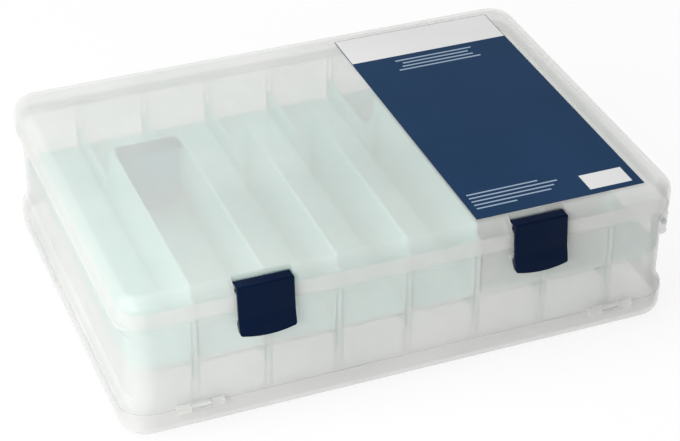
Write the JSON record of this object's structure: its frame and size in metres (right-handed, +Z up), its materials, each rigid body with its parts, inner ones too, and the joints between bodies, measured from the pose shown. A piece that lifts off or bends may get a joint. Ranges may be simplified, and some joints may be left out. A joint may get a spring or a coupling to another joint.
{
  "type": "thread organizer case",
  "caption": "Double-sided thread organizer case: frosted hinged lids on both faces, snap latches, fixed columns with swept dividers, a cross divider and a folding handle on one end.",
  "frame": {"origin": "centre of the footprint, on the surface the case stands on", "axes": "+X along the long side towards the handle end, +Y from the front latches to the lid's hinges, +Z up"},
  "size_m": [0.375, 0.2836, 0.1042],
  "materials": {
    "frosted_plastic": "frosted translucent",
    "tray_plastic": "satin",
    "cross_plastic": "satin",
    "latch_plastic": "gloss",
    "handle_plastic": "satin",
    "label_film": "satin"
  },
  "bodies": {
    "case": {"case_frame": "frosted_plastic", "partition_floor": "tray_plastic", "cross_divider": "cross_plastic", "upper_divider_1": "tray_plastic", "upper_divider_2": "tray_plastic", "upper_divider_3": "tray_plastic", "upper_divider_4": "tray_plastic", "upper_divider_5": "tray_plastic", "upper_divider_6": "tray_plastic", "upper_divider_7": "tray_plastic", "lower_divider_1": "tray_plastic", "lower_divider_2": "tray_plastic", "lower_divider_3": "tray_plastic", "lower_divider_4": "tray_plastic", "lower_divider_5": "tray_plastic", "lower_divider_6": "tray_plastic", "lower_divider_7": "tray_plastic"},
    "top_lid": {"top_lid": "frosted_plastic", "label_card": "label_film"},
    "bottom_lid": {"bottom_lid": "frosted_plastic"},
    "front_latch_left": {"front_latch_left": "latch_plastic"},
    "front_latch_right": {"front_latch_right": "latch_plastic"},
    "back_latch_left": {"back_latch_left": "latch_plastic"},
    "back_latch_right": {"back_latch_right": "latch_plastic"},
    "carry_handle": {"carry_handle": "handle_plastic"}
  },
  "joints": [
    {"name": "top_lid_hinge", "type": "hinge", "parent": "case", "child": "top_lid", "pos_m": [0, 0.137, 0.0826], "axis": [-1, 0, 0], "range_deg": [0, 115]},
    {"name": "bottom_lid_hinge", "type": "hinge", "parent": "case", "child": "bottom_lid", "pos_m": [0, -0.137, 0.0214], "axis": [-1, 0, 0], "range_deg": [0, 115]},
    {"name": "front_latch_left_pivot", "type": "hinge", "parent": "top_lid", "child": "front_latch_left", "pos_m": [-0.09703, -0.1304, 0.0993], "axis": [-1, 0, 0], "range_deg": [0, 100]},
    {"name": "back_latch_left_pivot", "type": "hinge", "parent": "bottom_lid", "child": "back_latch_left", "pos_m": [-0.09703, 0.1304, 0.0047], "axis": [-1, 0, 0], "range_deg": [0, 100]},
    {"name": "front_latch_right_pivot", "type": "hinge", "parent": "top_lid", "child": "front_latch_right", "pos_m": [0.08602, -0.1304, 0.0993], "axis": [-1, 0, 0], "range_deg": [0, 100]},
    {"name": "back_latch_right_pivot", "type": "hinge", "parent": "bottom_lid", "child": "back_latch_right", "pos_m": [0.08602, 0.1304, 0.0047], "axis": [-1, 0, 0], "range_deg": [0, 100]},
    {"name": "carry_handle_pivot", "type": "hinge", "parent": "case", "child": "carry_handle", "pos_m": [0.18525, 0, 0.0675], "axis": [0, -1, 0], "range_deg": [0, 100]}
  ]
}
